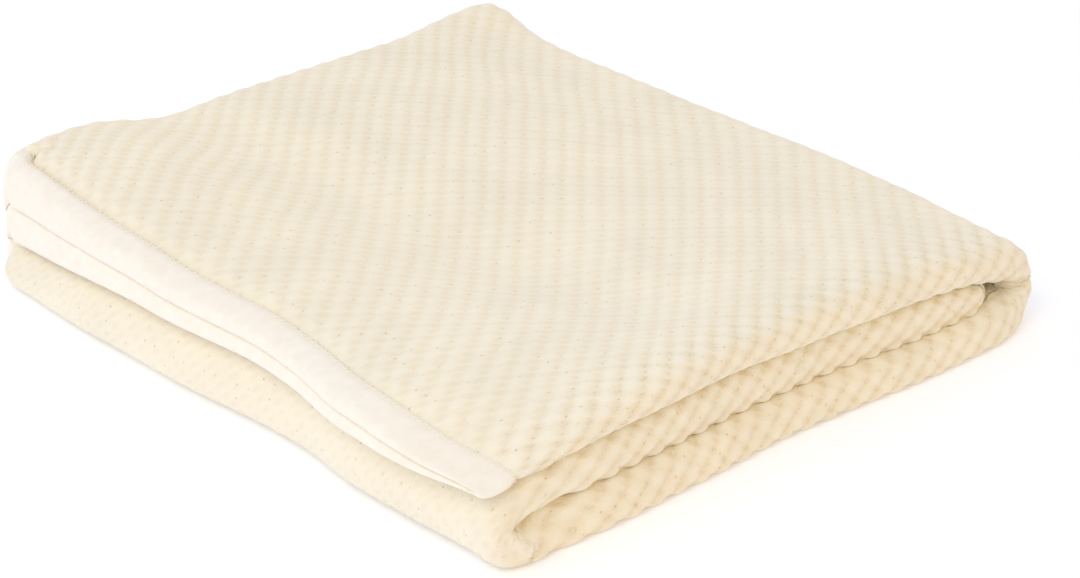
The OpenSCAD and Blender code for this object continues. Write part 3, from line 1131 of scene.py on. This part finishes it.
@dataclass(frozen=True)
class SatinFinish:
    """White polyester satin ribbon: smooth, with fine cross ribs and a soft sheen."""

    ribbon: str = "#F7F5F0"
    shade: str = "#E9E5DC"

    def material(self) -> bpy.types.Material:
        """Builds the material with ribs 0.7 mm apart, drawn as wide as they need to show.

        Returns:
            The material.
        """
        made, tree = blank_material("label_satin")
        place = node(tree, "TexCoord").outputs["Object"]
        ribs = node(tree, "TexWave", {"bands_direction": "Y"}, Vector=place, Scale=450.0).outputs[1]
        colour = mixed(tree, ribs, linear(self.shade), linear(self.ribbon))
        bump = node(tree, "Bump", Strength=0.2, Distance=0.05 * MM, Height=ribs).outputs[0]
        shader = node(tree, "BsdfPrincipled", Base_Color=colour, Roughness=0.35, Normal=bump)
        node(tree, "OutputMaterial", Surface=shader.outputs[0])
        return made


@dataclass
class Blanket:
    """The whole folded throw: builds each stretch's layers, dresses them, and hangs the tucked stretch and the label on
    the base body.
    """

    sizes: PackSizes

    def __post_init__(self) -> None:
        """Sets out the cloth, the knit and the finishes."""
        self.drape = Drape(self.sizes)
        self.cloth = FoldedCloth(self.sizes, self.drape)
        self.knit = BasketKnit()
        self.knit_finish = KnitFinish().material(self.knit)
        self.fleece_finish = FleeceFinish().material()
        self.thread_finish = ThreadFinish().material()
        self.satin_finish = SatinFinish().material()

    def crease(self, lower: bool) -> tuple[tuple[float, float, float], tuple[float, float, float]]:
        """Start and end of a crease line across a shared fold piece, in metres.

        The line runs across the fold's corner at 45 degrees. It ends where the piece meets its neighbour on the spine.

        Args:
            lower: True for the crease between the base and the spine, false for the one at the flap.

        Returns:
            Start and end points.
        """
        c, s = self.cloth, self.sizes
        edge_a = c.limits(Stretch.BOTTOM)[1]
        v, r = np.meshgrid(spaced(0.0, c.width, 4.0), np.array([0.1, 0.5 * s.half_t, s.half_t]), indexing="ij")
        edge = c.place(np.full(v.shape, edge_a), v, r)
        x, reach = s.right_x + 0.5 * s.outer_r, 7.0
        if lower:
            end = float((edge[..., 0] + edge[..., 2]).min())
            return (x * MM, 0.0, (end - 2.0 * reach - x) * MM), ((x + reach) * MM, 0.0, (end - reach - x) * MM)
        start = float((edge[..., 2] - edge[..., 0]).max())
        return (x * MM, 0.0, (start + x) * MM), ((x - reach) * MM, 0.0, (start + x + reach) * MM)

    def mount(self, piece: bpy.types.Object, stretch: Stretch) -> None:
        """Makes a tucked piece follow the base body; for the other stretches, works out a crease that nothing uses and
        bakes the piece's place into its mesh.

        Args:
            piece: The finished piece.
            stretch: The stretch that it belongs to.
        """
        if stretch is Stretch.TUCKED:
            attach(piece, "base")
        elif stretch is Stretch.BOTTOM:
            start, end = self.crease(lower=True)
            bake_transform(piece)
        else:
            start, end = self.crease(lower=False)
            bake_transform(piece)

    def build(self) -> None:
        """Builds every piece of the blanket: the three stretches from the bottom up, then the label."""
        self.build_stretch(Stretch.BOTTOM, ("bottom_panel", "lower_crease"), ("fold_spine",))
        self.build_stretch(Stretch.TUCKED, ("left_fold",), ("tucked_panel",))
        self.build_stretch(Stretch.FLAP, ("flap", "upper_crease"), ("flap",))
        label = CareLabel(self.drape).build("care_label_satin")
        self.dress(label, self.satin_finish, "label", ["care_label"])
        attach(label, "base")
        LOG.info("%s: %d faces", label.name, len(label.data.polygons))

    def build_stretch(self, stretch: Stretch, outer: tuple[str, ...], inner: tuple[str, ...]) -> None:
        """Builds a stretch's two plies of knit, its fleece and its seam, and mounts them.

        Args:
            stretch: The stretch.
            outer: The parts of the folded cloth whose knit the outer ply stands for.
            inner: The parts whose knit the inner ply stands for.
        """
        parts = tuple(dict.fromkeys(outer + inner))
        made = []
        for side, upper, stands_for in (("outer", True, outer), ("inner", False, inner)):
            face = KnitFace(self.cloth, self.knit, stretch, upper)
            piece = face.build(f"{stretch.value}_knit_{side}_ply")
            self.dress(piece, self.knit_finish, "knit", [f"{part}_knit" for part in stands_for])
            face.flat_size()
            made.append(piece)
        sheet = FleeceSheet(self.cloth, stretch)
        fleece = sheet.build(f"{stretch.value}_fleece_lining")
        self.dress(fleece, self.fleece_finish, "fleece", [f"{p}_{layer}" for p in parts for layer in ("lining", "hem")])
        sheet.flat_size()
        thread = SeamThread(self.cloth, stretch).build(f"{stretch.value}_seam_thread")
        self.dress(thread, self.thread_finish, "thread", [f"{part}_seam" for part in parts])
        for piece in (*made, fleece, thread):
            self.mount(piece, stretch)
            LOG.info("%s: %d faces", piece.name, len(piece.data.polygons))

    @staticmethod
    def dress(piece: bpy.types.Object, finish: bpy.types.Material, slot: str, nodes: list[str]) -> None:
        """Gives a piece its finish and hides the frame's nodes that it stands for.

        Args:
            piece: The piece.
            finish: Its material.
            slot: Not used.
            nodes: The nodes that it replaces.
        """
        piece.data.materials.append(finish)
        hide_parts(*nodes)


@dataclass(frozen=True)
class Camera:
    """A long lens looking down on the pack's front left corner."""

    azimuth: float = -44.8
    elevation: float = 26.2
    distance: float = 1.2743
    target: tuple[float, float, float] = (-0.02694, -0.04455, 0.03108)
    lens: float = 89.83
    roll: float = 0.43

    def build(self) -> None:
        """Puts the camera at its distance from the target, back along its view, and turns it by its roll."""
        a, e, r = (math.radians(v) for v in (self.azimuth, self.elevation, self.roll))
        back = Vector((math.sin(a) * math.cos(e), -math.cos(a) * math.cos(e), math.sin(e)))
        right = (-back).cross(Vector((0.0, 0.0, 1.0))).normalized()
        up = right.cross(-back)
        x_axis = right * math.cos(r) + up * math.sin(r)
        y_axis = up * math.cos(r) - right * math.sin(r)
        data = bpy.data.cameras.new("camera")
        data.lens = self.lens
        data.sensor_width = 36.0
        data.clip_start = 0.05
        camera = bpy.data.objects.new("camera", data)
        bpy.context.scene.collection.objects.link(camera)
        turn = Matrix((x_axis, y_axis, back)).transposed().to_4x4()
        camera.matrix_world = Matrix.Translation(Vector(self.target) + back * self.distance) @ turn
        bpy.context.scene.camera = camera


@dataclass(frozen=True)
class Studio:
    """A white table that glows a little, a bright surround and one large soft light from the left.

    The surround is cool overhead, warm at the horizon and warmer still in front of the rolls.
    """

    floor: str = "#F7F9FF"
    floor_glow: str = "#F8F9FF"
    overhead: str = "#DDEBFF"
    horizon: str = "#FFF6EA"
    front: str = "#EDC478"
    lamp: str = "#FFF2DC"
    reach: float = 40.0
    glow: float = 0.17
    surround: float = 1.02
    key: float = 9.6

    def build(self) -> None:
        """Builds the floor, the surround and the light."""
        self.table()
        self.sky()
        self.softbox("key_light", (-1.4, -0.35, 1.7), (0.0, 0.0, 0.03), 1.1)
        bpy.context.scene.view_settings.view_transform = "Standard"
        bpy.context.scene.view_settings.look = "None"

    def table(self) -> None:
        """Builds the plain floor, far wider than any view."""
        mesh = bpy.data.meshes.new("table")
        corners = [(x * self.reach, y * self.reach, 0.0) for x, y in ((-1, -1), (1, -1), (1, 1), (-1, 1))]
        mesh.from_pydata(corners, [], [(0, 1, 2, 3)])
        table = bpy.data.objects.new("table", mesh)
        bpy.context.scene.collection.objects.link(table)
        paint, tree = blank_material("white_table")
        matt = node(tree, "BsdfDiffuse", Color=linear(self.floor)).outputs[0]
        lit = node(tree, "Emission", Color=linear(self.floor_glow), Strength=self.glow).outputs[0]
        both = node(tree, "AddShader", i0=matt, i1=lit).outputs[0]
        node(tree, "OutputMaterial", Surface=both)
        mesh.materials.append(paint)

    def sky(self) -> None:
        """Lights the scene from all round, with a colour for each direction."""
        world = bpy.data.worlds.new("surround")
        bpy.context.scene.world = world
        world.use_nodes = True
        tree = world.node_tree
        tree.nodes.clear()
        way = node(tree, "TexCoord").outputs["Generated"]
        front = (0.25, -0.95, -0.15)
        toward = node(tree, "VectorMath", {"operation": "DOT_PRODUCT"}, i0=way, i1=front).outputs[1]
        warm = node(tree, "MapRange", Value=toward, i1=0.0, i2=0.85, i3=0.0, i4=1.0).outputs[0]
        up = node(tree, "SeparateXYZ", i0=way).outputs[2]
        high = node(tree, "MapRange", Value=up, i1=0.1, i2=0.9, i3=0.0, i4=1.0).outputs[0]
        dome = mixed(tree, high, linear(self.horizon), linear(self.overhead))
        sky = mixed(tree, warm, dome, linear(self.front))
        light = node(tree, "Background", Color=sky, Strength=self.surround)
        node(tree, "OutputWorld", Surface=light.outputs[0])

    def softbox(
        self, name: str, place: tuple[float, float, float], aim: tuple[float, float, float], size: float
    ) -> None:
        """Adds a square soft light that looks at a point.

        Args:
            name: The light's name.
            place: Where it stands, in metres.
            aim: What it looks at, in metres.
            size: Its side, in metres.
        """
        data = bpy.data.lights.new(name, "AREA")
        data.size = size
        data.energy = self.key
        data.color = linear(self.lamp)[:3]
        lamp = bpy.data.objects.new(name, data)
        bpy.context.scene.collection.objects.link(lamp)
        toward = Vector(aim) - Vector(place)
        lamp.matrix_world = Matrix.Translation(place) @ toward.to_track_quat("-Z", "Y").to_matrix().to_4x4()


def main() -> None:
    """Builds the camera, the studio and the blanket, in that order."""
    logging.basicConfig(level=logging.INFO, format="%(name)s: %(message)s")
    Camera().build()
    Studio().build()
    Blanket(PackSizes.from_frame()).build()


if __name__ == "__main__":
    main()
